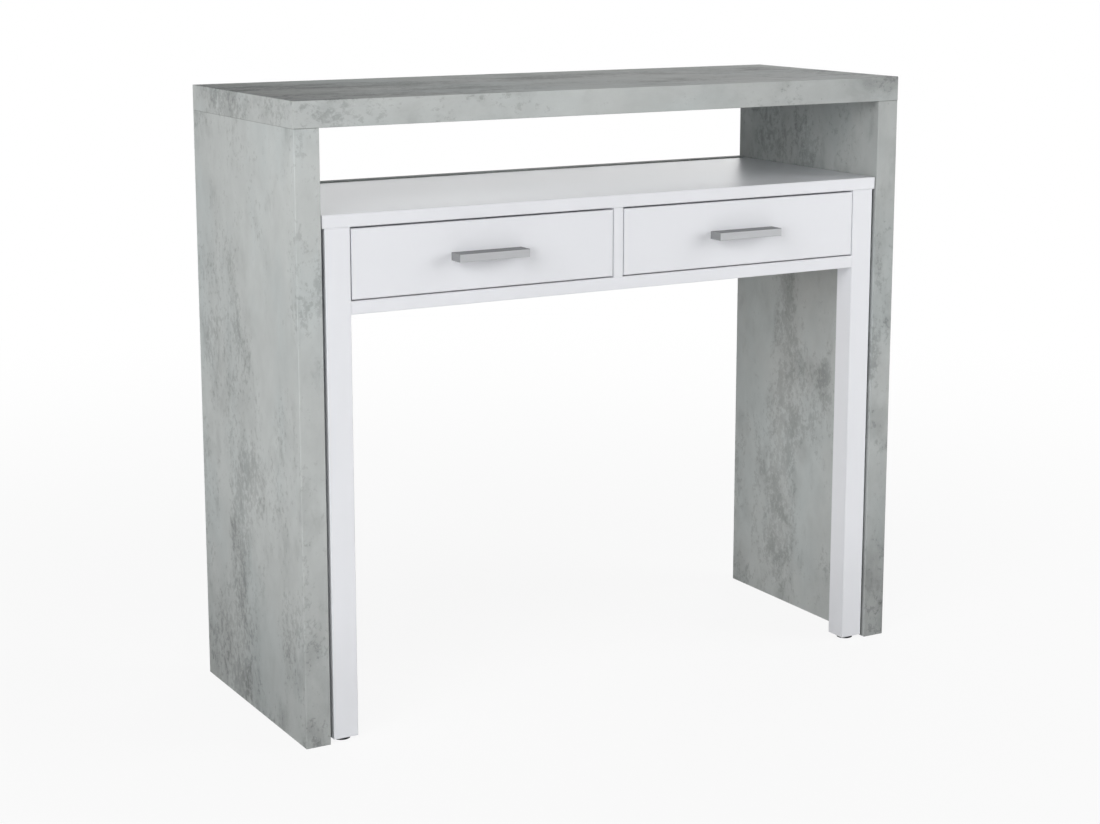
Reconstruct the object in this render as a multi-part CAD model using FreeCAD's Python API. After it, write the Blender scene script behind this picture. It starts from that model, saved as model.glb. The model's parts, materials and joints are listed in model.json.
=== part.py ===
import FreeCAD, Part
import os
from collections import namedtuple

# Extendable console desk: a white writing desk with two drawers, which slides out
# from under a concrete-look console frame on a pair of telescopic ball slides.
# Sizes are in millimetres. +Z is up and the front faces -Y. The origin is on the
# floor, under the middle of the closed desk.

V = FreeCAD.Vector
SIDES = {"left": -1, "right": 1}
Section = namedtuple("Section", "start reach half_height sheet lip bend")
Run = namedtuple("Run", "front length centre_height")
TOUCH = 1e-6

# Console frame
console_width = 985.0
console_height = 875.0
console_depth = 360.0
console_board = 36.0
edge_radius = 1.0
stretcher_thickness = 16.0
stretcher_height = 140.0
stretcher_rise = 1.5

# Desk carcass
desk_height = 725.0
desk_board = 18.0
inner_board = 15.0
desk_setback = 2.0
desk_end_gap = 2.0
desk_back_gap = 2.0
leg_width = 36.0
leg_depth = 34.0
leg_panel_gap = 6.0
front_rail_depth = 60.0
front_rail_top = 608.0
packer_height = 50.0
corner_block_size = 18.0
corner_block_length = 30.0
corner_block_lip = 5.0
corner_block_inset = 70.0

# Feet
foot_diameter = 24.0
foot_height = 5.0

# Drawers
drawer_side_gap = 2.0
drawer_top_gap = 2.5
drawer_bottom_gap = 2.0
drawer_front_thickness = 15.0
drawer_front_radius = 0.8
drawer_board = 12.0
drawer_length = 285.0
drawer_box_bottom = 618.0
drawer_box_height = 78.0
drawer_base_thickness = 3.0
drawer_base_rise = 9.0
groove_depth = 5.0
groove_play = 0.2

# Handles
handle_length = 108.0
handle_height = 11.0
handle_projection = 25.0
handle_front_wall = 3.0
handle_top_wall = 2.5
handle_end_wall = 3.5
handle_radius = 0.7
handle_boss_diameter = 8.0
handle_hole_spacing = 96.0
handle_screw_diameter = 4.0
handle_screw_grip = 12.0
handle_thread_room = 2.0
handle_screw_head_diameter = 8.0
handle_screw_head_height = 2.5
screw_play = 0.25

# Telescopic slides that carry the desk: outer, middle and inner members
slide_depth = 12.7
slide_length = 300.0
slide_sheet = 1.2
slide_half_height = 22.85
slide_middle_half_height = 18.3
slide_inner_half_height = 13.75
slide_outer_reach = 10.2
slide_middle_start = 2.3
slide_middle_reach = 9.6
slide_inner_reach = 7.7
slide_lip = 1.0
slide_centre_height = 650.0
slide_leg_gap = 2.0
slide_cage_length = 120.0
slide_cage_sheet = 0.5
slide_cage_play = 0.3
slide_cage_margin = 5.0
slide_ball_radius = 1.4
slide_balls_per_row = 2
desk_travel = 340.0

# Two-member ball runners that carry each drawer
runner_depth = 10.0
runner_length = 270.0
runner_sheet = 1.0
runner_half_height = 13.5
runner_inner_half_height = 8.5
runner_rail_reach = 8.0
runner_inner_reach = 6.8
runner_lip = 0.8
runner_centre_height = 650.0
runner_leg_gap = 4.0
runner_cage_length = 60.0
runner_cage_start = 1.5
runner_cage_reach = 6.6
runner_cage_margin = 2.5
runner_ball_radius = 1.7
runner_balls_per_row = 2
drawer_travel = 205.0

# Joinery
dowel_diameter = 8.0
dowel_length = 30.0
dowel_in_face = 10.0
pin_flats = 8
dowel_play = 0.1
dowel_end_room = 1.0
top_dowel_inset = 90.0
board_dowel_inset = 30.0

# Places that follow from the sizes above
half_width = console_width / 2
overall_depth = console_depth + handle_projection - desk_setback
back = overall_depth / 2
front = back - console_depth
panel_top = console_height - console_board
panel_inner = half_width - console_board

desk_front = front + desk_setback
desk_underside = desk_height - desk_board
stretcher_front = back - stretcher_thickness
stretcher_top = desk_height + stretcher_rise
stretcher_bottom = stretcher_top - stretcher_height
desk_back = stretcher_front - desk_back_gap
desk_half = panel_inner - desk_end_gap

leg_outer = panel_inner - leg_panel_gap
leg_inner = leg_outer - leg_width
leg_back = desk_front + leg_depth
front_rail_bottom = front_rail_top - desk_board
front_rail_back = desk_front + front_rail_depth
apron_outer = panel_inner - slide_depth
apron_inner = apron_outer - inner_board
rear_apron_front = desk_back - inner_board
divider_half = inner_board / 2

slide_front = leg_back + slide_leg_gap
runner_front = leg_back + runner_leg_gap
drawer_front_back = desk_front + drawer_front_thickness
drawer_back_end = drawer_front_back + drawer_length


def block(x, y, z):
    """A box between two limits on each axis, given in either order."""
    low = V(min(x), min(y), min(z))
    return Part.makeBox(max(x) - low.x, max(y) - low.y, max(z) - low.z, low)


def edges_along(shape, axis):
    """The straight edges of a shape that run along one axis."""
    found = []
    for edge in shape.Edges:
        direction = edge.Vertexes[-1].Point - edge.Vertexes[0].Point
        if abs(direction.dot(axis)) > direction.Length - TOUCH:
            found.append(edge)
    return found


def board(x, y, z, grain, radius=edge_radius, front_only=False):
    """A board whose edges along the grain axis are rounded, all four or the front two."""
    plain = block(x, y, z)
    edges = edges_along(plain, grain)
    if front_only:
        edges = [edge for edge in edges if edge.BoundBox.YMax < max(y)]
    return plain.makeFillet(radius, edges)


def rod(start, direction, diameter, length):
    return Part.makeCylinder(diameter / 2, length, start, direction)


def drilled(shape, holes, diameter=dowel_diameter + 2 * dowel_play):
    """A shape with blind holes, each given as (mouth, direction into it, depth)."""
    for mouth, direction, depth in holes:
        shape = shape.cut(rod(mouth, direction, diameter, depth))
    return shape


def channel(wall, inward, section, run):
    """A bent C-section along Y. Its depth is measured from a wall, in the inward direction."""
    high = section.half_height
    reach = section.reach
    sheet = section.sheet
    upper = [(section.start, high), (reach, high)]
    if section.lip:
        lip_end = high - sheet - section.lip
        upper += [(reach, lip_end), (reach - sheet, lip_end), (reach - sheet, high - sheet)]
    else:
        upper.append((reach, high - sheet))
    upper.append((section.start + sheet, high - sheet))
    lower = [(depth, -height) for depth, height in reversed(upper)]
    points = []
    for depth, height in upper + lower + upper[:1]:
        points.append(V(wall + inward * depth, run.front, run.centre_height + height))
    plain = Part.Face(Part.makePolygon(points)).extrude(V(0, run.length, 0))
    if not section.bend:
        return plain
    bends = []
    for edge in edges_along(plain, V(0, 1, 0)):
        point = edge.Vertexes[0].Point
        on_flange = abs(abs(point.z - run.centre_height) - high) < TOUCH
        if on_flange and abs(point.x - wall - inward * section.start) < TOUCH:
            bends.append(edge)
    return plain.makeFillet(section.bend, bends)


def ball(centre, radius):
    """A bearing ball in eighteen flats: a cube trimmed by the same cube turned about each axis."""
    limits = (-radius, radius)
    cube = block(limits, limits, limits)
    trimmed = cube
    for axis in (V(1, 0, 0), V(0, 1, 0), V(0, 0, 1)):
        trimmed = trimmed.common(cube.rotated(V(0, 0, 0), axis, 45))
    return trimmed.translated(centre)


def ball_cage(wall, inward, section, run, row_depth, radius, per_row):
    """A bent cage strip with two rows of balls held in its flanges."""
    cage = channel(wall, inward, section, run)
    pitch = run.length / per_row
    row_height = section.half_height - section.sheet / 2
    for sign in (-1, 1):
        for index in range(per_row):
            y = run.front + pitch * (index + 0.5)
            z = run.centre_height + sign * row_height
            cage = cage.fuse(ball(V(wall + inward * row_depth, y, z), radius))
    return cage


def fluted(start, direction, diameter, length):
    """A fluted or threaded pin as an eight-sided prism, which touches its hole along eight lines."""
    across = V(direction.z, direction.x, direction.y) * (diameter / 2)
    corners = []
    for index in range(pin_flats + 1):
        turn = FreeCAD.Rotation(direction, 360.0 * index / pin_flats)
        corners.append(start + turn.multVec(across))
    return Part.Face(Part.makePolygon(corners)).extrude(direction * length)


def dowels(places):
    """Dowels across joints. A place is (point on the joint, direction into the end grain)."""
    shapes = []
    for point, direction in places:
        start = point - direction * dowel_in_face
        shapes.append(fluted(start, direction, dowel_diameter, dowel_length))
    return Part.makeCompound(shapes)


def dowel_face_holes(places):
    return [(point, direction * -1, dowel_in_face) for point, direction in places]


def dowel_end_holes(places):
    deep = dowel_length - dowel_in_face + dowel_end_room
    return [(point, direction, deep) for point, direction in places]


nodes = {}


# Where the boards of the console are joined
top_dowel_places = {}
stretcher_dowel_places = {}
for name, side in SIDES.items():
    panel_centre = side * (panel_inner + console_board / 2)
    top_dowel_places[name] = []
    for y in (front + top_dowel_inset, back - top_dowel_inset):
        top_dowel_places[name].append((V(panel_centre, y, panel_top), V(0, 0, -1)))
    stretcher_dowel_places[name] = []
    for z in (stretcher_bottom + board_dowel_inset, stretcher_top - board_dowel_inset):
        joint = V(side * panel_inner, back - stretcher_thickness / 2, z)
        stretcher_dowel_places[name].append((joint, V(-side, 0, 0)))

# Console top, which lies over the panels
console_top = board(
    (-half_width, half_width), (front, back), (panel_top, console_height), V(1, 0, 0)
)
for name in SIDES:
    console_top = drilled(console_top, dowel_face_holes(top_dowel_places[name]))
nodes["console_top"] = console_top

# Side panels
for name, side in SIDES.items():
    panel = board(
        (side * panel_inner, side * half_width),
        (front, back),
        (0, panel_top),
        V(0, 0, 1),
        front_only=True,
    )
    panel = drilled(panel, dowel_end_holes(top_dowel_places[name]))
    nodes[name + "_side_panel"] = drilled(panel, dowel_face_holes(stretcher_dowel_places[name]))

# Rear stretcher, which ties the two panels together behind the desk
stretcher = block(
    (-panel_inner, panel_inner), (stretcher_front, back), (stretcher_bottom, stretcher_top)
)
for name in SIDES:
    stretcher = drilled(stretcher, dowel_end_holes(stretcher_dowel_places[name]))
nodes["rear_stretcher"] = stretcher

frame_dowel_places = []
for name in SIDES:
    frame_dowel_places += top_dowel_places[name] + stretcher_dowel_places[name]
nodes["frame_dowels"] = dowels(frame_dowel_places)


# Telescopic slides between the panels and the desk's aprons, with a ball cage in each gap
slide_run = Run(slide_front, slide_length, slide_centre_height)
outer_section = Section(
    0, slide_outer_reach, slide_half_height, slide_sheet, slide_lip, slide_sheet
)
middle_section = Section(
    slide_middle_start, slide_middle_reach, slide_middle_half_height, slide_sheet, 0, slide_sheet
)
inner_section = Section(
    0, slide_inner_reach, slide_inner_half_height, slide_sheet, 0, slide_sheet
)
cage_run = Run(
    slide_front + slide_cage_margin + desk_travel / 4, slide_cage_length, slide_centre_height
)
outer_cage_section = Section(
    slide_sheet + slide_cage_play,
    slide_outer_reach - slide_sheet - slide_cage_play,
    (slide_half_height - slide_sheet + slide_middle_half_height + slide_cage_sheet) / 2,
    slide_cage_sheet,
    0,
    0,
)
inner_cage_section = Section(
    slide_middle_start + slide_sheet + slide_cage_play,
    slide_middle_reach - slide_cage_play,
    (slide_middle_half_height - slide_sheet + slide_inner_half_height + slide_cage_sheet) / 2,
    slide_cage_sheet,
    0,
    0,
)
for name, side in SIDES.items():
    panel_face = side * panel_inner
    apron_face = side * apron_outer
    nodes[name + "_slide_outer"] = channel(panel_face, -side, outer_section, slide_run)
    nodes[name + "_slide_middle"] = channel(panel_face, -side, middle_section, slide_run)
    nodes[name + "_slide_inner"] = channel(apron_face, side, inner_section, slide_run)
    for place, section in (("outer", outer_cage_section), ("inner", inner_cage_section)):
        nodes[f"{name}_slide_{place}_cage"] = ball_cage(
            panel_face, -side, section, cage_run, section.reach - 2 * slide_ball_radius,
            slide_ball_radius, slide_balls_per_row,
        )


# Where the boards of the desk are joined
leg_middle_y = desk_front + leg_depth / 2
rail_dowel_places = {}
apron_dowel_places = {}
for name, side in SIDES.items():
    joint = V(side * leg_inner, leg_middle_y, front_rail_top - desk_board / 2)
    rail_dowel_places[name] = [(joint, V(-side, 0, 0))]
    joint = V(side * (apron_outer + apron_inner) / 2, leg_back, desk_underside - board_dowel_inset)
    apron_dowel_places[name] = [(joint, V(0, 1, 0))]

# Desk top and front rail
nodes["desk_top"] = board(
    (-desk_half, desk_half),
    (desk_front, desk_back),
    (desk_underside, desk_height),
    V(1, 0, 0),
    front_only=True,
)
front_rail = board(
    (-leg_inner, leg_inner),
    (desk_front, front_rail_back),
    (front_rail_bottom, front_rail_top),
    V(1, 0, 0),
    drawer_front_radius,
    front_only=True,
)
for name in SIDES:
    front_rail = drilled(front_rail, dowel_end_holes(rail_dowel_places[name]))
nodes["front_rail"] = front_rail

# Legs, each on a black glide
for name, side in SIDES.items():
    leg = board(
        (side * leg_inner, side * leg_outer),
        (desk_front, leg_back),
        (foot_height, desk_underside),
        V(0, 0, 1),
        front_only=True,
    )
    leg = drilled(leg, dowel_face_holes(rail_dowel_places[name]))
    leg = drilled(leg, dowel_face_holes(apron_dowel_places[name]))
    nodes[name + "_leg"] = leg
    foot_centre = V(side * (leg_inner + leg_outer) / 2, leg_middle_y, 0)
    nodes[name + "_foot"] = rod(foot_centre, V(0, 0, 1), foot_diameter, foot_height)

# Side aprons, with a packer that brings each drawer rail out to the leg's inner face
packer_half = packer_height / 2
for name, side in SIDES.items():
    apron = block(
        (side * apron_inner, side * apron_outer),
        (leg_back, desk_back),
        (front_rail_bottom, desk_underside),
    )
    nodes[name + "_apron"] = drilled(apron, dowel_end_holes(apron_dowel_places[name]))
    nodes[name + "_runner_packer"] = block(
        (side * leg_inner, side * apron_inner),
        (runner_front, runner_front + runner_length),
        (runner_centre_height - packer_half, runner_centre_height + packer_half),
    )

# Rear apron and the divider between the drawers
nodes["rear_apron"] = block(
    (-apron_inner, apron_inner), (rear_apron_front, desk_back), (front_rail_bottom, desk_underside)
)
nodes["drawer_divider"] = block(
    (-divider_half, divider_half),
    (desk_front, rear_apron_front),
    (front_rail_top, desk_underside),
)

desk_dowel_places = []
for name in SIDES:
    desk_dowel_places += rail_dowel_places[name] + apron_dowel_places[name]
nodes["desk_dowels"] = dowels(desk_dowel_places)


def corner_block(corner, first, second):
    """A moulded block that joins two boards, centred on a point where their faces meet."""
    along = first.cross(second) * corner_block_length
    outline = [
        corner,
        corner + first * corner_block_size,
        corner + first * corner_block_size + second * corner_block_lip,
        corner + first * corner_block_lip + second * corner_block_size,
        corner + second * corner_block_size,
        corner,
    ]
    face = Part.Face(Part.makePolygon([point - along / 2 for point in outline]))
    return face.extrude(along)


# Corner blocks that fix the desk top to the aprons, and the aprons to each other
corner_blocks = []
down = V(0, 0, -1)
forward = V(0, -1, 0)
upright_z = front_rail_bottom + corner_block_length / 2
for side in SIDES.values():
    inward = V(-side, 0, 0)
    for y in (leg_back + corner_block_inset, rear_apron_front - corner_block_inset):
        corner_blocks.append(corner_block(V(side * apron_inner, y, desk_underside), inward, down))
    rear = V(side * apron_inner / 2, rear_apron_front, desk_underside)
    corner_blocks.append(corner_block(rear, forward, down))
    upright = V(side * apron_inner, rear_apron_front, upright_z)
    corner_blocks.append(corner_block(upright, inward, forward))
nodes["desk_corner_blocks"] = Part.makeCompound(corner_blocks)


# Drawer front limits, shared by the drawers and their handles
drawer_front_bottom = front_rail_top + drawer_bottom_gap
drawer_front_top = desk_underside - drawer_top_gap
drawer_front_inner = divider_half + drawer_side_gap
drawer_front_outer = leg_inner - drawer_side_gap
drawer_centre_x = (drawer_front_inner + drawer_front_outer) / 2
handle_centre_z = (drawer_front_bottom + drawer_front_top) / 2
drawer_box_top = drawer_box_bottom + drawer_box_height
box_inner = divider_half + runner_depth
box_outer = leg_inner - runner_depth
base_low = drawer_box_bottom + drawer_base_rise
base_high = base_low + drawer_base_thickness
groove_heights = (base_low, base_high + groove_play)
groove_front = drawer_front_back - groove_depth


def drawer_handle(centre_x):
    """A bar handle, hollow and open below for the fingers, with two screw bosses."""
    half = handle_length / 2
    top = handle_centre_z + handle_height / 2
    bottom = handle_centre_z - handle_height / 2
    nose = desk_front - handle_projection
    solid = block((centre_x - half, centre_x + half), (nose, desk_front), (bottom, top))
    rounded = []
    for edge in solid.Edges:
        if max(vertex.Y for vertex in edge.Vertexes) < desk_front - handle_radius:
            rounded.append(edge)
    shell = solid.makeFillet(handle_radius, rounded)
    inside = half - handle_end_wall
    shell = shell.cut(
        block(
            (centre_x - inside, centre_x + inside),
            (nose + handle_front_wall, desk_front),
            (bottom, top - handle_top_wall),
        )
    )
    boss_length = handle_projection - handle_front_wall
    for sign in (-1, 1):
        seat = V(centre_x + sign * handle_hole_spacing / 2, desk_front, handle_centre_z)
        shell = shell.fuse(rod(seat, V(0, -1, 0), handle_boss_diameter, boss_length))
        thread = (seat, V(0, -1, 0), handle_screw_grip + handle_thread_room)
        shell = drilled(shell, [thread], handle_screw_diameter)
    return shell.removeSplitter()


def handle_screws(centre_x):
    """The two screws that hold a handle, with their heads inside the drawer."""
    screws = []
    for sign in (-1, 1):
        x = centre_x + sign * handle_hole_spacing / 2
        under_head = V(x, drawer_front_back, handle_centre_z)
        shank_length = drawer_front_thickness + handle_screw_grip
        shank = fluted(under_head, V(0, -1, 0), handle_screw_diameter, shank_length)
        head = rod(
            under_head, V(0, 1, 0), handle_screw_head_diameter, handle_screw_head_height
        )
        screws.append(shank.fuse(head))
    return Part.makeCompound(screws)


# Sections of the drawer runners, and the two faces that carry the rails of each drawer
runner_run = Run(runner_front, runner_length, runner_centre_height)
rail_section = Section(
    0, runner_rail_reach, runner_half_height, runner_sheet, runner_lip, runner_sheet
)
runner_section = Section(
    0, runner_inner_reach, runner_inner_half_height, runner_sheet, 0, runner_sheet
)
runner_cage_run = Run(
    runner_front + runner_cage_margin + drawer_travel / 2, runner_cage_length, runner_centre_height
)
runner_cage_section = Section(
    runner_cage_start,
    runner_cage_reach,
    (runner_half_height - runner_sheet + runner_inner_half_height + slide_cage_sheet) / 2,
    slide_cage_sheet,
    0,
    0,
)
runner_carriers = {"inner": (divider_half, 1), "outer": (leg_inner, -1)}

# Drawers: a box on two ball runners behind an inset front
for name, side in SIDES.items():
    drawer = name + "_drawer"
    centre_x = side * drawer_centre_x
    drawer_front = board(
        (side * drawer_front_inner, side * drawer_front_outer),
        (desk_front, drawer_front_back),
        (drawer_front_bottom, drawer_front_top),
        V(1, 0, 0),
        drawer_front_radius,
        front_only=True,
    )
    base_x = (
        side * (box_inner + drawer_board - groove_depth),
        side * (box_outer - drawer_board + groove_depth),
    )
    drawer_front = drawer_front.cut(block(base_x, (groove_front, drawer_front_back), groove_heights))
    screw_holes = []
    for sign in (-1, 1):
        mouth = V(centre_x + sign * handle_hole_spacing / 2, drawer_front_back, handle_centre_z)
        screw_holes.append((mouth, V(0, -1, 0), drawer_front_thickness))
    nodes[drawer + "_front"] = drilled(
        drawer_front, screw_holes, handle_screw_diameter + 2 * screw_play
    )
    nodes[drawer + "_handle"] = drawer_handle(centre_x)
    nodes[drawer + "_handle_screws"] = handle_screws(centre_x)

    # Box sides, each with a groove for the base
    box_y = (drawer_front_back, drawer_back_end)
    box_z = (drawer_box_bottom, drawer_box_top)
    walls = {
        "inner": (box_inner, box_inner + drawer_board, 1),
        "outer": (box_outer, box_outer - drawer_board, -1),
    }
    for place, (outside, inside, towards_middle) in walls.items():
        wall = block((side * outside, side * inside), box_y, box_z)
        groove_end = inside - towards_middle * groove_depth
        groove = block((side * inside, side * groove_end), box_y, groove_heights)
        nodes[f"{drawer}_{place}_side"] = wall.cut(groove)
    back_x = (side * (box_inner + drawer_board), side * (box_outer - drawer_board))
    nodes[drawer + "_back"] = block(
        back_x, (drawer_back_end - drawer_board, drawer_back_end), (base_high, drawer_box_top)
    )
    nodes[drawer + "_base"] = block(base_x, (groove_front, drawer_back_end), (base_low, base_high))

    # Ball runners: a rail on the carcass, a runner on the box and a cage between them
    for place, (carrier, towards_box) in runner_carriers.items():
        wall_x = side * carrier
        inward = side * towards_box
        box_face = wall_x + inward * runner_depth
        nodes[f"{drawer}_{place}_rail"] = channel(wall_x, inward, rail_section, runner_run)
        nodes[f"{drawer}_{place}_runner"] = channel(box_face, -inward, runner_section, runner_run)
        nodes[f"{drawer}_{place}_cage"] = ball_cage(
            wall_x, inward, runner_cage_section, runner_cage_run,
            runner_cage_reach - runner_ball_radius, runner_ball_radius, runner_balls_per_row,
        )


os.makedirs("parts", exist_ok=True)
for name, shape in nodes.items():
    shape.exportStep(f"parts/{name}.step")
print(len(nodes), "nodes")
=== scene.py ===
import json
import math

import bmesh
import bpy
from mathutils import Matrix, Vector


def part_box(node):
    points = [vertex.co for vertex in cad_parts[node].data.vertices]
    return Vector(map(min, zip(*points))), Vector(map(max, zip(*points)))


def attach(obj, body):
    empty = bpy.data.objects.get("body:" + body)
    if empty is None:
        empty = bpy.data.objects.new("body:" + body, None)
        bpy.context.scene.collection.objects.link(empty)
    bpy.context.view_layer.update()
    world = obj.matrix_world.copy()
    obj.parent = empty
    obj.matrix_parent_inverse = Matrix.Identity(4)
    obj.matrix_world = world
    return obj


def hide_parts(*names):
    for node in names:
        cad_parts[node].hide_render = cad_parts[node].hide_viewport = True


# Looks of the extendable console desk: decor, melamine, metal and plastic on the packed
# boards and slides, the screws, cams and buffers that go with them, a studio and its camera.
# Sizes are in metres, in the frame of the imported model: +Z up, front towards -Y.

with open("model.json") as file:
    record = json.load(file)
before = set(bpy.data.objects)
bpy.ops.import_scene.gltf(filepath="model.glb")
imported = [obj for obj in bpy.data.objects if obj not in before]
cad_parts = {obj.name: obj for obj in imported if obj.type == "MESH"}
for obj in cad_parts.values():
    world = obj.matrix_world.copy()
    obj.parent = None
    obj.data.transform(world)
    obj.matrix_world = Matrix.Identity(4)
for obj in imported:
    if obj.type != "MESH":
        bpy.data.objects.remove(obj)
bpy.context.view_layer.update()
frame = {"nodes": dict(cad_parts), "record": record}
nodes = frame["nodes"]
SIDES = {"left": -1, "right": 1}
PLACES = ("inner", "outer")
PANEL_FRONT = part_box("left_side_panel")[0].y
PANEL_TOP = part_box("left_side_panel")[1].z
PANEL_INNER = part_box("right_side_panel")[0].x
CONSOLE_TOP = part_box("console_top")[1].z


class Graph:
    """Builds a shader node tree step by step. A value is a socket, a number or a tuple."""

    def __init__(self, tree):
        self.tree = tree

    def put(self, socket, value):
        """Links a socket to another one, or sets its constant."""
        if isinstance(value, bpy.types.NodeSocket):
            self.tree.links.new(value, socket)
        else:
            socket.default_value = value

    def add(self, kind, inputs=None, **settings):
        """A new node with its settings and inputs."""
        node = self.tree.nodes.new(kind)
        for name, value in settings.items():
            setattr(node, name, value)
        for name, value in (inputs or {}).items():
            self.put(node.inputs[name], value)
        return node

    def math(self, operation, a, b=0.0, c=0.0):
        return self.add("ShaderNodeMath", {0: a, 1: b, 2: c}, operation=operation).outputs[0]

    def times(self, a, b):
        return self.math("MULTIPLY", a, b)

    def apart(self, a, b):
        """How far apart two values are."""
        return self.math("ABSOLUTE", self.math("SUBTRACT", a, b))

    def sum(self, start, *terms):
        """start plus weight times value for each (weight, value)."""
        total = start
        for weight, value in terms:
            total = self.math("MULTIPLY_ADD", value, weight, total)
        return total

    def step(self, value, low, high, to_low=0.0, to_high=1.0):
        """A smooth step from to_low at low to to_high at high."""
        inputs = {0: value, 1: low, 2: high, 3: to_low, 4: to_high}
        node = self.add("ShaderNodeMapRange", inputs, interpolation_type="SMOOTHSTEP")
        return node.outputs[0]

    def fade(self, value, low, high):
        """A smooth step down from 1 at low to 0 at high."""
        return self.step(value, low, high, 1.0, 0.0)

    def vector(self, operation, a, b=(0.0, 0.0, 0.0)):
        return self.add("ShaderNodeVectorMath", {0: a, 1: b}, operation=operation).outputs[0]

    def scaled(self, color, factor):
        inputs = {0: color, "Scale": factor}
        return self.add("ShaderNodeVectorMath", inputs, operation="SCALE").outputs[0]

    def split(self, place):
        return self.add("ShaderNodeSeparateXYZ", {0: place}).outputs

    def join(self, x, y, z):
        return self.add("ShaderNodeCombineXYZ", {0: x, 1: y, 2: z}).outputs[0]

    def mix(self, factor, a, b):
        inputs = {0: factor, 6: a, 7: b}
        return self.add("ShaderNodeMix", inputs, data_type="RGBA").outputs[2]

    def noise(self, place, scale, detail, roughness, shift=0.0, warp=0.0):
        """Noise at a place, with features per metre for all axes or for each."""
        scales = scale if isinstance(scale, tuple) else (scale, scale, scale)
        inputs = {
            "Vector": self.add(
                "ShaderNodeVectorMath",
                {0: place, 1: scales, 2: (shift, shift, shift)},
                operation="MULTIPLY_ADD",
            ).outputs[0],
            "Scale": 1.0,
            "Detail": detail,
            "Roughness": roughness,
            "Distortion": warp,
        }
        return self.add("ShaderNodeTexNoise", inputs).outputs[0]


class Finish(Graph):
    """A material with one Principled shader, patterned in the frame's own coordinates."""

    def __init__(self, name, **constants):
        self.material = bpy.data.materials.new(name)
        self.material.use_nodes = True
        super().__init__(self.material.node_tree)
        self.shader = self.tree.nodes["Principled BSDF"]
        for socket, value in constants.items():
            self.shader.inputs[socket.replace("_", " ")].default_value = value
        self.place = self.add("ShaderNodeTexCoord").outputs["Object"]

    def show(self, color, roughness=None, height=None, depth=0.0):
        """Links colour, roughness and a bump of that depth to the shader."""
        self.put(self.shader.inputs["Base Color"], color)
        if roughness is not None:
            self.put(self.shader.inputs["Roughness"], roughness)
        if height is not None:
            bump = self.add("ShaderNodeBump", {"Height": height, "Distance": depth})
            self.put(self.shader.inputs["Normal"], bump.outputs[0])
        return self.material

    def from_arris(self):
        """How far a point of a board is from the nearest edge of the face it lies on."""
        box = []
        for name in ("board_centre", "board_half"):
            node = self.add("ShaderNodeAttribute", attribute_type="OBJECT", attribute_name=name)
            box.append(node.outputs["Vector"])
        offset = self.vector("ABSOLUTE", self.vector("SUBTRACT", self.place, box[0]))
        x, y, z = self.split(self.vector("SUBTRACT", box[1], offset))
        least = self.math("MINIMUM", self.math("MAXIMUM", x, y), self.math("MAXIMUM", y, z))
        return self.math("MINIMUM", least, self.math("MAXIMUM", x, z))


# The places in the print that the boards are cut from, as an offset for each of its patterns
UPRIGHT_CUT = {"cloud": 113.9, "wander": 21.9, "region": 141.3, "blotch": 78.4, "smudge": 31.5}
LYING_CUT = {"cloud": 61.9, "wander": 51.6, "region": 24.2, "blotch": 104.8, "smudge": 146.1}
GREY = (0.472, 0.491, 0.483, 1)
COOL_GREY = (0.458, 0.487, 0.483, 1)

# Distances over which the painted highlight, shadow and shade fade: from an arris, from the
# joint of top and panel, and into a board from its front, inner or upper face
ARRIS_FADE = (0.0004, 0.0016)
JOINT_FADE = (0.0003, 0.0009)
FRONT_FADE = (PANEL_FRONT + 0.0006, PANEL_FRONT + 0.0014)
INNER_FADE = (PANEL_INNER + 0.0005, PANEL_INNER + 0.0055)
UPPER_FADE = (CONSOLE_TOP - 0.0008, CONSOLE_TOP - 0.0002)


def lying_tone_and_shade(f):
    """Painted shade on the top face towards its ends, and a darker right end."""
    x, _, z = f.split(f.place)
    left = f.fade(x, -0.49, -0.20)
    right = f.step(x, 0.12, 0.46)
    # Painted shade: the top face is darker towards both ends, the left end most.
    on_top = f.step(z, *UPPER_FADE)
    ends = f.times(f.sum(0.0, (0.36, left), (0.10, right)), on_top)
    return f.sum(0.0, (-1.0, ends), (-0.16, right))


def upright_tone_and_shade(f, outer):
    """Painted light and shade of a panel, and a darker right panel outside."""
    x, y, z = f.split(f.place)
    # Painted shade: darker towards the floor, most on the outer faces.
    foot = f.times(f.fade(z, 0.0, 0.36), f.sum(0.45, (0.55, outer)))
    # Painted shade on the inner face over the desk and towards the front, painted light on it below
    # the desk.
    below_desk = f.fade(z, 0.60, 0.72)
    fore_start = f.sum(-0.17, (0.11, below_desk))
    fore_end = f.sum(-0.08, (0.14, below_desk))
    fore = f.fade(y, fore_start, fore_end)
    inside_light_and_shade = f.sum(-0.12, (0.26, below_desk), (-0.11, fore))
    inner = f.times(inside_light_and_shade, f.sum(1.0, (-1.0, outer)))
    right = f.times(f.step(x, 0.0, 0.1), outer)
    return f.sum(0.0, (-0.26, foot), (1.0, inner), (-0.13, right))


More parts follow.
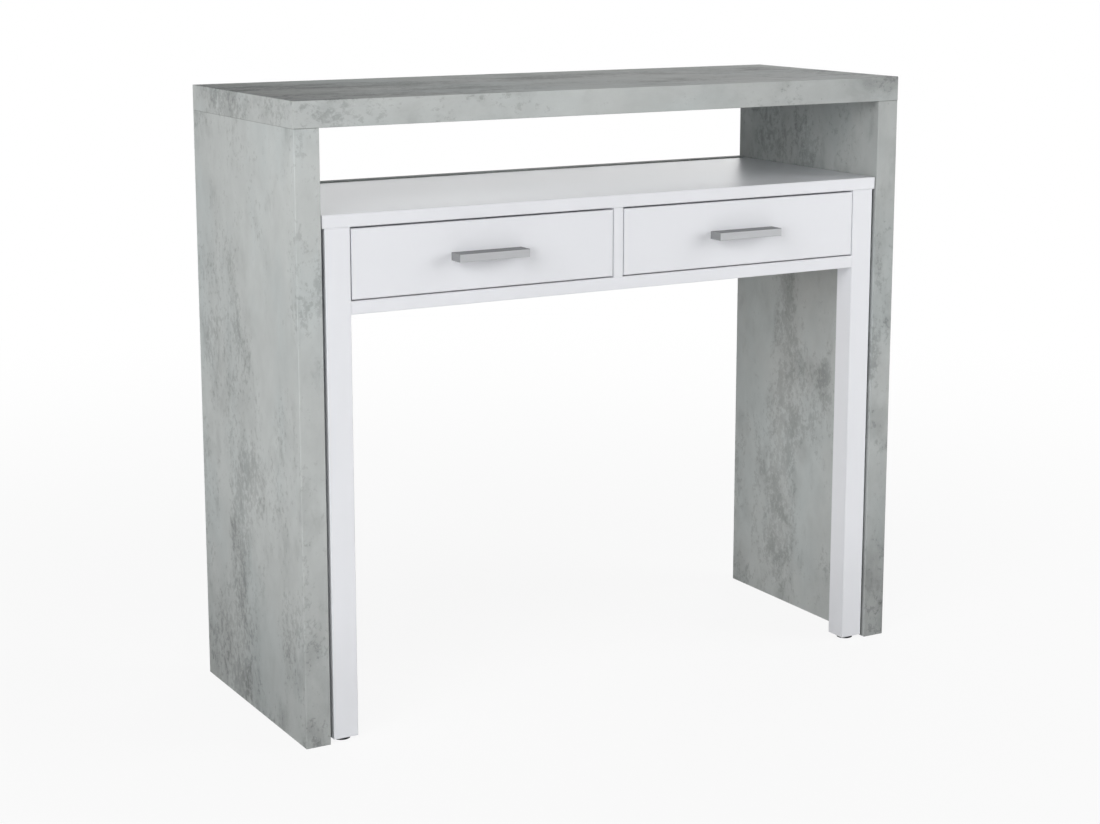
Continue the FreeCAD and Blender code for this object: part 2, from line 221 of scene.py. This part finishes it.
def concrete(name, lying):
    """Concrete-look print: clouds, dark smudges with flaky edges, speck clusters and pits, with
    painted highlights on the arrises, a painted shadow at the joint and painted shade.

    The print runs along a lying board and up a panel.
    """
    cut = LYING_CUT if lying else UPRIGHT_CUT
    f = Finish(name, Specular_IOR_Level=0.12)
    x, y, z = f.split(f.place)
    p = f.join(z, y, x) if lying else f.place
    along = x if lying else z
    cloud = f.noise(p, (5.0, 5.0, 3.2), detail=4, roughness=0.5, shift=cut["cloud"])
    tint = f.noise(p, (8, 8, 4), detail=3, roughness=0.55, shift=17.3)
    mottle = f.noise(p, (30, 30, 20), detail=6, roughness=0.62, shift=12.4, warp=0.3)
    fine = f.noise(p, (125, 125, 95), detail=6, roughness=0.74, shift=1.4, warp=0.2)

    # A rough seam wanders along each board, a third of its depth from the back
    wander = f.noise(f.join(0.0, 0.0, along), 4.0, detail=3, roughness=0.6, shift=cut["wander"])
    seam_y = f.sum(0.02, (0.09, wander))
    seam = f.fade(f.apart(y, seam_y), 0.0, 0.085)
    patches = f.noise(p, (9.5, 9.5, 5.5), detail=5, roughness=0.6, shift=cut["region"])
    region = f.sum(patches, (0.14, seam))

    # Marks of several sizes, which gather where the region is high
    blotches = f.noise(p, (17, 17, 11), detail=5, roughness=0.6, shift=cut["blotch"])
    blotch = f.step(f.sum(blotches, (0.5, region)), 0.74, 0.98)
    smudges = f.noise(p, (34, 34, 15), detail=5, roughness=0.62, shift=cut["smudge"])
    smudge = f.step(f.sum(smudges, (0.30, fine), (0.6, region)), 0.97, 1.17)
    flake = f.step(f.sum(fine, (0.8, region), (0.35, mottle)), 1.13, 1.25)
    flecks = f.noise(p, (170, 170, 130), detail=4, roughness=0.7, shift=61.0)
    fleck = f.step(f.sum(flecks, (0.6, region)), 0.98, 1.10)
    marks = f.noise(p, (190, 190, 50), detail=4, roughness=0.65, shift=31.0)
    mark = f.step(f.sum(marks, (0.4, region)), 0.90, 1.02)
    grain = f.noise(p, 800, detail=3, roughness=0.65)

    # Round pits in about a quarter of the cells
    cells = f.add("ShaderNodeTexVoronoi", {"Vector": p, "Scale": 60.0})
    rare = f.step(f.split(cells.outputs["Color"])[0], 0.72, 0.76)
    pit = f.times(f.fade(cells.outputs["Distance"], 0.04, 0.09), rare)

    # Painted highlight: a lighter line along every arris.
    edge = f.fade(f.from_arris(), *ARRIS_FADE)
    front = f.fade(y, *FRONT_FADE)
    outer = f.math("MAXIMUM", f.step(f.math("ABSOLUTE", x), *INNER_FADE), front)
    # Painted shadow: a dark line on the outer faces where the top meets the panels.
    joint = f.times(f.fade(f.apart(z, PANEL_TOP), *JOINT_FADE), outer)
    # The tone adds the painted light and shade of each board.
    tone = lying_tone_and_shade(f) if lying else upright_tone_and_shade(f, outer)
    light = f.sum(
        0.75, (0.34, cloud), (0.29, mottle), (-0.145, blotch), (-0.12, smudge), (-0.20, flake),
        (0.08, fleck), (-0.06, mark), (0.10, grain), (-0.20, pit), (0.03, edge), (-0.30, joint),
        (1.0, tone),
    )
    base = f.mix(f.step(tint, 0.38, 0.66), GREY, COOL_GREY)
    roughness = f.sum(0.62, (0.08, smudge), (0.08, grain))
    height = f.sum(0.5, (-0.6, flake), (-0.8, pit), (0.25, grain), (-0.3, mark))
    return f.show(f.scaled(base, light), roughness, height, depth=0.00008)


def melamine(name, color, roughness):
    """White faced board: fine pearl texture, faint clouds, edge-band joints, and painted shade
    greying it towards the floor.
    """
    f = Finish(name, Specular_IOR_Level=0.45)
    pearl = f.noise(f.place, 1700, detail=3, roughness=0.55)
    cloud = f.noise(f.place, 6, detail=3, roughness=0.5, shift=2.0)
    # Painted shade: greyer towards the floor.
    foot = f.fade(f.split(f.place)[2], 0.0, 0.22)
    arris = f.from_arris()
    joint = f.times(f.step(arris, 0.0007, 0.0010), f.fade(arris, 0.0011, 0.0015))
    light = f.sum(0.975, (0.03, cloud), (0.02, pearl), (-0.10, foot), (-0.10, joint))
    glaze = f.sum(roughness - 0.05, (0.06, pearl), (0.05, cloud))
    return f.show(f.scaled(color, light), glaze, pearl, depth=0.00003)


def fibreboard(name):
    """Thin drawer base: white printed face above, bare brown board below."""
    f = Finish(name, Specular_IOR_Level=0.3)
    up = f.split(f.add("ShaderNodeNewGeometry").outputs["True Normal"])[2]
    fibre = f.noise(f.place, 420, detail=5, roughness=0.7)
    fleck = f.noise(f.place, (90, 260, 90), detail=3, roughness=0.6, shift=4.0)
    brown = f.scaled((0.30, 0.185, 0.10), f.sum(0.62, (0.5, fibre), (0.25, fleck)))
    white = f.scaled((0.78, 0.785, 0.79), f.sum(0.96, (0.04, fibre), (0.04, fleck)))
    color = f.mix(f.step(up, 0.4, 0.6), brown, white)
    return f.show(color, f.sum(0.45, (0.2, fibre)), fibre, depth=0.00005)


def plated_steel(name, color, smooth, dull):
    """Zinc-plated sheet, with rolling lines along Y and the cloudy bloom of the plating."""
    f = Finish(name, Metallic=1.0)
    rolled = f.noise(f.place, (1500, 12, 1500), detail=3, roughness=0.6)
    bloom = f.noise(f.place, 60, detail=4, roughness=0.6, shift=7.0)
    speck = f.noise(f.place, 900, detail=2, roughness=0.6, shift=2.0)
    light = f.sum(0.82, (0.16, rolled), (0.16, bloom), (0.06, speck))
    roughness = f.sum(smooth, (dull - smooth, bloom), (0.10, rolled))
    return f.show(f.scaled(color, light), roughness, rolled, depth=0.00002)


def satin_metal(name, color):
    """Handle: satin metal, finely brushed along its length, with painted shade on its top and ends.
    """
    f = Finish(name, Metallic=0.3, Specular_IOR_Level=0.25)
    brushed = f.noise(f.place, (14, 2400, 2400), detail=3, roughness=0.6)
    cloud = f.noise(f.place, 45, detail=3, roughness=0.5, shift=6.0)
    # Painted shade: the ends and the top face are darker.
    across, _, up = f.split(f.add("ShaderNodeNewGeometry").outputs["Normal"])
    end = f.step(f.math("ABSOLUTE", across), 0.3, 0.9)
    top = f.step(up, 0.3, 0.9)
    light = f.sum(0.90, (0.20, brushed), (0.08, cloud), (-0.50, end), (-0.58, top))
    roughness = f.sum(0.46, (0.14, brushed), (0.06, cloud))
    return f.show(f.scaled(color, light), roughness, brushed, depth=0.00002)


def moulded(name, color, roughness):
    """Moulded plastic with a fine sparked skin and slight scuffs."""
    f = Finish(name, Specular_IOR_Level=0.4)
    spark = f.noise(f.place, 1300, detail=3, roughness=0.6)
    scuff = f.step(f.noise(f.place, 70, detail=5, roughness=0.7, shift=8.0), 0.52, 0.75)
    light = f.sum(0.90, (0.12, spark), (0.35, scuff))
    return f.show(f.scaled(color, light), f.sum(roughness, (0.12, spark)), spark, depth=0.00004)


def beech(name, color):
    """Dowel wood, with short dark rays."""
    f = Finish(name, Specular_IOR_Level=0.3)
    ring = f.noise(f.place, 300, detail=3, roughness=0.6)
    rays = f.noise(f.place, (900, 120, 900), detail=2, roughness=0.5, shift=3.0)
    ray = f.step(rays, 0.58, 0.68)
    light = f.sum(0.80, (0.36, ring), (-0.16, ray))
    return f.show(f.scaled(color, light), f.sum(0.55, (0.2, ring)), ring, depth=0.00006)


finishes = {
    "white_melamine": melamine("white_melamine", (0.880, 0.891, 0.925), 0.33),
    "drawer_board": melamine("drawer_foil", (0.76, 0.765, 0.775), 0.5),
    "drawer_base_board": fibreboard("drawer_fibreboard"),
    "slide_steel": plated_steel("slide_zinc", (0.78, 0.79, 0.81), 0.26, 0.44),
    "cage_steel": plated_steel("cage_zinc", (0.58, 0.59, 0.60), 0.22, 0.36),
    "screw_steel": plated_steel("screw_zinc", (0.76, 0.77, 0.79), 0.20, 0.34),
    "handle_metal": satin_metal("handle_satin", (0.515, 0.525, 0.54)),
    "foot_plastic": moulded("foot_black", (0.012, 0.012, 0.013), 0.42),
    "corner_block_plastic": moulded("block_white", (0.72, 0.72, 0.70), 0.40),
    "beech": beech("beech_dowel", (0.60, 0.43, 0.27)),
}
concrete_lying = concrete("concrete_lying", True)
concrete_upright = concrete("concrete_upright", False)
LYING = ("console_top", "rear_stretcher")

# Every node gets its finish, and its box for the edge-band joints and the painted highlights along
# the arrises
for part in frame["record"]["subparts"]:
    name, slot = part["node"], part["material_slot"]
    node = nodes[name]
    low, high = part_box(name)
    node["board_centre"] = (low + high) / 2
    node["board_half"] = (high - low) / 2
    node.data.materials.clear()
    if slot == "concrete_decor":
        finish = concrete_lying if name in LYING else concrete_upright
    else:
        finish = finishes[slot]
    node.data.materials.append(finish)


# Screws and cams. A profile runs up from the buried end as (radius, height over the
# surface), and a cross recess is given as (reach of an arm, its half width, depth).
RIM_POINTS = 24
CROSS_FLOOR_SHARE = 0.6
TURN_STEP = 0.9
SHARP_ANGLE = math.radians(35)
FLUSH = ((0.0010, -0.0080), (0.0016, -0.0024), (0.0033, -0.0004), (0.0034, 0.0), (0.0031, 0.0001))
PAN = (
    (0.0012, -0.0080), (0.0015, 0.0), (0.0034, 0.0), (0.0036, 0.0006), (0.0033, 0.0011),
    (0.0026, 0.0015), (0.0021, 0.0016),
)
CAM = ((0.0070, -0.0060), (0.0075, -0.0002), (0.0075, 0.0), (0.0073, 0.0001), (0.0048, 0.0001))
SMALL_CROSS = (0.0016, 0.0004, 0.0012)
HANDLE_CROSS = (0.0019, 0.0005, 0.0016)
CAM_CROSS = (0.0036, 0.0008, 0.0030)

# Handle screws: radii of the shank, the head as (offset from its radius, height) and the
# inset of its flat top
SHANK_RADII = (0.0018, 0.0019)
HANDLE_HEAD = ((-0.0002, 0.0), (0.0, 0.0007), (-0.0003, 0.0016), (-0.0011, 0.0023))
HANDLE_HEAD_INSET = 0.0018


def plus_outline(reach, half):
    """The twelve corners of a cross, counter-clockwise from the arm along X."""
    corners = []
    for quarter in range(4):
        turn = Matrix.Rotation(quarter * math.pi / 2, 2)
        for x, y in ((reach, -half), (reach, half), (half, half)):
            corners.append(turn @ Vector((x, y)))
    return corners


def add_screw(mesh, point, outward, turn, profile, cross):
    """A turned fastener with a cross recess, standing on a surface and facing outward."""
    facing = Vector(outward).to_track_quat("Z", "X").to_matrix().to_4x4()
    to_frame = Matrix.Translation(point) @ facing @ Matrix.Rotation(turn, 4, "Z")

    def loop(corners, height):
        return [mesh.verts.new(to_frame @ Vector((x, y, height))) for x, y in corners]

    def wall(lower, upper):
        for index in range(len(lower)):
            following = (index + 1) % len(lower)
            mesh.faces.new((lower[index], lower[following], upper[following], upper[index]))

    reach, half, depth = cross
    start = -math.atan2(half, reach)
    circle = []
    for index in range(RIM_POINTS):
        angle = start + math.tau * index / RIM_POINTS
        circle.append((math.cos(angle), math.sin(angle)))
    rings = []
    for radius, height in profile:
        rings.append(loop([(radius * x, radius * y) for x, y in circle], height))
    mesh.faces.new(reversed(rings[0]))
    for lower, upper in zip(rings, rings[1:]):
        wall(lower, upper)

    # The flat between the round rim and the cross, then the recess itself
    top = profile[-1][1]
    mouth = loop(plus_outline(reach, half), top)
    floor_outline = plus_outline(reach * CROSS_FLOOR_SHARE, half * CROSS_FLOOR_SHARE)
    floor = loop(floor_outline, top - depth)
    rim = rings[-1]
    per_corner = RIM_POINTS // len(mouth)
    for corner in range(len(mouth)):
        following = (corner + 1) % len(mouth)
        first = corner * per_corner
        for index in range(first, first + per_corner):
            mesh.faces.new((rim[index], rim[(index + 1) % RIM_POINTS], mouth[corner]))
        mesh.faces.new((rim[(first + per_corner) % RIM_POINTS], mouth[following], mouth[corner]))
    wall(mouth, floor)
    mesh.faces.new(floor)


def add_piece(name, body, slot, mesh):
    """Turns a bmesh into a piece with the finish of a slot, riding on a body."""
    bmesh.ops.recalc_face_normals(mesh, faces=mesh.faces)
    data = bpy.data.meshes.new(name)
    mesh.to_mesh(data)
    mesh.free()
    data.shade_smooth()
    data.set_sharp_from_angle(angle=SHARP_ANGLE)
    data.materials.append(finishes[slot])
    piece = bpy.data.objects.new(name, data)
    bpy.context.scene.collection.objects.link(piece)
    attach(piece, body)
    return piece


def fasteners(name, body, places, profile, cross):
    """One piece of fasteners, each placed as (point on the surface, direction it faces)."""
    mesh = bmesh.new()
    for index, (point, outward) in enumerate(places):
        add_screw(mesh, point, outward, TURN_STEP * index, profile, cross)
    return add_piece(name, body, "screw_steel", mesh)


BUFFER_WIDTH = 0.0105
BUFFER_BOTTOM, BUFFER_TOP = 0.636, 0.664
BUFFER_GAP = 0.0016
BUFFER_EASE = 0.0005
CUSHION_INSET = 0.0016
CUSHION_RISE = 0.0014


def buffer(name, low, high):
    """A moulded stop with a raised cushion on its front face."""
    mesh = bmesh.new()
    bmesh.ops.create_cube(mesh, size=1.0)
    low, high = Vector(low), Vector(high)
    bmesh.ops.scale(mesh, vec=high - low, verts=mesh.verts)
    bmesh.ops.translate(mesh, vec=(low + high) / 2, verts=mesh.verts)
    front = [face for face in mesh.faces if face.normal.y < -0.5]
    bmesh.ops.inset_individual(mesh, faces=front, thickness=CUSHION_INSET)
    bmesh.ops.translate(mesh, vec=(0, -CUSHION_RISE, 0), verts=front[0].verts)
    bmesh.ops.bevel(
        mesh, geom=mesh.edges[:], offset=BUFFER_EASE, segments=2, affect="EDGES", profile=0.5
    )
    return add_piece(name, "console_frame", "foot_plastic", mesh)


SCREWS_PER_RAIL = 3


def along_web(node, outside, sheet, outward, inset):
    """Places on the inner face of a channel's web, which lies against an outside face."""
    low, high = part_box(node)
    x = outside + outward * sheet
    z = (low.z + high.z) / 2
    pitch = (high.y - low.y - 2 * inset) / (SCREWS_PER_RAIL - 1)
    places = []
    for index in range(SCREWS_PER_RAIL):
        places.append(((x, low.y + inset + pitch * index, z), (outward, 0, 0)))
    return places


# Sheet thickness of the channels, how far the end screws sit from a channel's ends, and
# how far the cams sit from the front, bottom and top of a drawer side
SLIDE_SHEET = 0.0012
RUNNER_SHEET = 0.0010
SLIDE_OUTER_INSET = 0.030
SLIDE_INNER_INSET = 0.020
RAIL_INSET = 0.025
RUNNER_INSET = 0.020
CAM_FROM_FRONT = 0.024
CAM_FROM_BOTTOM = 0.030
CAM_FROM_TOP = 0.015

for name, side in SIDES.items():
    # Desk slides: flush screws into the panel, a buffer behind, pan heads into the apron
    panel_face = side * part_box("right_slide_outer")[1].x
    places = along_web(name + "_slide_outer", panel_face, SLIDE_SHEET, -side, SLIDE_OUTER_INSET)
    fasteners(name + "_slide_outer_screws", "console_frame", places, FLUSH, SMALL_CROSS)
    slide_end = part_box(name + "_slide_outer")[1].y
    depths = sorted((panel_face - side * BUFFER_WIDTH, panel_face))
    buffer(
        name + "_slide_buffer",
        (depths[0], slide_end + BUFFER_GAP, BUFFER_BOTTOM),
        (depths[1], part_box("rear_stretcher")[0].y, BUFFER_TOP),
    )
    apron_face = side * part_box("right_slide_inner")[0].x
    places = along_web(name + "_slide_inner", apron_face, SLIDE_SHEET, side, SLIDE_INNER_INSET)
    fasteners(name + "_slide_inner_screws", "desk", places, PAN, SMALL_CROSS)

    # Drawer runners: flush screws into the carcass, pan heads into the box, and its cams
    drawer = name + "_drawer"
    cam_places = []
    for place, away in zip(PLACES, (1, -1)):
        outward = side * away
        edge = 0 if outward > 0 else 1
        rail = f"{drawer}_{place}_rail"
        places = along_web(rail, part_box(rail)[edge].x, RUNNER_SHEET, outward, RAIL_INSET)
        fasteners(rail + "_screws", "desk", places, FLUSH, SMALL_CROSS)
        runner = f"{drawer}_{place}_runner"
        places = along_web(runner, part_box(runner)[1 - edge].x, RUNNER_SHEET, -outward, RUNNER_INSET)
        fasteners(runner + "_screws", drawer, places, PAN, SMALL_CROSS)
        low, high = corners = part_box(f"{drawer}_{place}_side")
        for z in (low.z + CAM_FROM_BOTTOM, high.z - CAM_FROM_TOP):
            point = (corners[1 - edge].x, low.y + CAM_FROM_FRONT, z)
            cam_places.append((point, (outward, 0, 0)))
    fasteners(drawer + "_cams", drawer, cam_places, CAM, CAM_CROSS)

    # Handle screws, with their heads against the inner face of the drawer front
    screws = drawer + "_handle_screws"
    low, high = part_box(screws)
    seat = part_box(drawer + "_front")[1].y
    radius = (high.z - low.z) / 2
    profile = [(SHANK_RADII[0], low.y - seat), (SHANK_RADII[1], 0.0)]
    for offset, height in HANDLE_HEAD:
        profile.append((radius + offset, height))
    profile.append((radius - HANDLE_HEAD_INSET, high.y - seat))
    places = []
    for x in (low.x + radius, high.x - radius):
        places.append(((x, seat, (low.z + high.z) / 2), (0, 1, 0)))
    piece = fasteners(screws + "_heads", drawer, places, profile, HANDLE_CROSS)
    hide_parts(screws)


# Screws through the sloping faces of the corner blocks under the desk top: two blocks along
# each side apron, one on the rear apron, and one upright in the rear corner
BLOCK_FACE = 0.0115
BLOCK_SPREAD = 0.008
SIDE_BLOCKS_Y = (-0.0625, 0.0885)
UPRIGHT_BLOCK_RISE = 0.015
DOWN = (0, 0, -1)
FORWARD = (0, -1, 0)
top_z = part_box("desk_top")[0].z
rear_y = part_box("rear_apron")[0].y
upright_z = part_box("front_rail")[0].z + UPRIGHT_BLOCK_RISE
places = []
for side in SIDES.values():
    wall_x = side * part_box("right_apron")[0].x
    inward = (-side, 0, 0)
    blocks = [((wall_x, y, top_z), inward, DOWN) for y in SIDE_BLOCKS_Y]
    blocks.append(((wall_x / 2, rear_y, top_z), FORWARD, DOWN))
    blocks.append(((wall_x, rear_y, upright_z), inward, FORWARD))
    for corner, first, second in blocks:
        slope = Vector(first) + Vector(second)
        along = Vector(first).cross(Vector(second))
        for shift in (-BLOCK_SPREAD, BLOCK_SPREAD):
            places.append((Vector(corner) + slope * BLOCK_FACE + along * shift, slope))
fasteners("desk_corner_block_screws", "desk", places, PAN, SMALL_CROSS)

# Eased rims on the turned feet
FOOT_EASE = 0.0012
FOOT_RIM_ANGLE = math.radians(50)
for name in SIDES:
    rim = nodes[name + "_foot"].modifiers.new("eased_rim", "BEVEL")
    rim.width = FOOT_EASE
    rim.segments = 3
    rim.limit_method = "ANGLE"
    rim.angle_limit = FOOT_RIM_ANGLE


# Studio: a pale floor, a room that is white to the camera and weak as a light, two wide lamps
# in front, a weak one at the left and two at the back, one of which the desk top mirrors.
# A lamp is given as name, place, aim, size and power in watts.
LAMPS = (
    ("front_left", (-3.1, -2.1, 1.5), (0, 0, 0.5), (2.4, 2.6), 90.0),
    ("left_high", (-2.0, -0.6, 1.9), (0, 0, 0.7), (1.4, 1.0), 8.0),
    ("front_right", (3.1, -2.1, 1.5), (0, 0, 0.5), (2.4, 2.6), 81.0),
    ("back", (1.4, 3.2, 1.4), (0, 0, 0.7), (3.2, 1.6), 22.0),
    ("back_right", (2.6, 1.8, 2.0), (0, 0, 0.8), (1.8, 1.4), 27.0),
)
HORIZON_LIGHT, ZENITH_LIGHT = 0.22, 0.0
MIRRORED_LIGHT = 0.45
FLOOR_REACH = 40.0
GLOW_START, GLOW_END = 0.4, 3.0
GLOW_NEAR, GLOW_FAR = 0.90, 1.0

# The lens shift is small, because the other views keep it
LENS, SENSOR_WIDTH = 69.879, 36.0
LENS_SHIFT = -0.075
CAMERA_PLACE = (-1.5738, -2.7072, 1.0813)
CAMERA_TILT, CAMERA_TURN = 10.411, 29.922


def studio_floor():
    """A pale floor that fades into the white of the room with distance."""
    mesh = bpy.data.meshes.new("studio_floor")
    signs = ((-1, -1), (1, -1), (1, 1), (-1, 1))
    corners = [(x * FLOOR_REACH, y * FLOOR_REACH, 0) for x, y in signs]
    mesh.from_pydata(corners, [], [(0, 1, 2, 3)])
    floor = bpy.data.objects.new("studio_floor", mesh)
    bpy.context.scene.collection.objects.link(floor)
    f = Finish("pale_floor", Roughness=0.9, Specular_IOR_Level=0.1)
    tone = f.noise(f.place, 1.2, detail=2, roughness=0.5)
    f.show(f.scaled((0.77, 0.77, 0.77), f.sum(0.98, (0.04, tone))))
    glow = f.add("ShaderNodeEmission")
    away = f.add("ShaderNodeVectorMath", {0: f.place}, operation="LENGTH").outputs["Value"]
    seen = f.add("ShaderNodeLightPath").outputs["Is Camera Ray"]
    share = f.times(seen, f.step(away, GLOW_START, GLOW_END, GLOW_NEAR, GLOW_FAR))
    mixed = f.add("ShaderNodeMixShader", {0: share, 1: f.shader.outputs[0], 2: glow.outputs[0]})
    f.put(f.tree.nodes["Material Output"].inputs["Surface"], mixed.outputs[0])
    floor.data.materials.append(f.material)


def room():
    """A world that is white to the camera, and lights the desk weakly from the horizon."""
    world = bpy.data.worlds.new("room")
    world.use_nodes = True
    bpy.context.scene.world = world
    g = Graph(world.node_tree)
    direction = g.add("ShaderNodeTexCoord").outputs["Generated"]
    up = g.math("ABSOLUTE", g.split(direction)[2])
    glow = g.step(up, 0.0, 0.8, HORIZON_LIGHT, ZENITH_LIGHT)
    path = g.add("ShaderNodeLightPath").outputs
    mirrored = g.times(path["Is Glossy Ray"], MIRRORED_LIGHT)
    strength = g.math("MAXIMUM", glow, g.math("MAXIMUM", path["Is Camera Ray"], mirrored))
    shade = g.tree.nodes["Background"]
    shade.inputs["Color"].default_value = (1.0, 1.0, 1.0, 1.0)
    g.put(shade.inputs["Strength"], strength)


def area_lamp(name, place, target, size, power):
    """A rectangular lamp that faces a target."""
    lamp = bpy.data.lights.new(name, "AREA")
    lamp.shape = "RECTANGLE"
    lamp.size, lamp.size_y = size
    lamp.energy = power
    holder = bpy.data.objects.new(name, lamp)
    holder.location = place
    aim = Vector(target) - Vector(place)
    holder.rotation_euler = aim.to_track_quat("-Z", "Y").to_euler()
    bpy.context.scene.collection.objects.link(holder)


def studio_camera():
    """The photo's viewpoint: in front and to the left, looking slightly down."""
    data = bpy.data.cameras.new("photo_camera")
    data.lens = LENS
    data.sensor_width = SENSOR_WIDTH
    data.shift_y = LENS_SHIFT
    camera = bpy.data.objects.new("photo_camera", data)
    camera.location = CAMERA_PLACE
    camera.rotation_euler = (math.radians(90 - CAMERA_TILT), 0.0, math.radians(-CAMERA_TURN))
    bpy.context.scene.collection.objects.link(camera)
    bpy.context.scene.camera = camera


studio_floor()
room()
for lamp in LAMPS:
    area_lamp(*lamp)
studio_camera()
bpy.context.scene.view_settings.view_transform = "Standard"
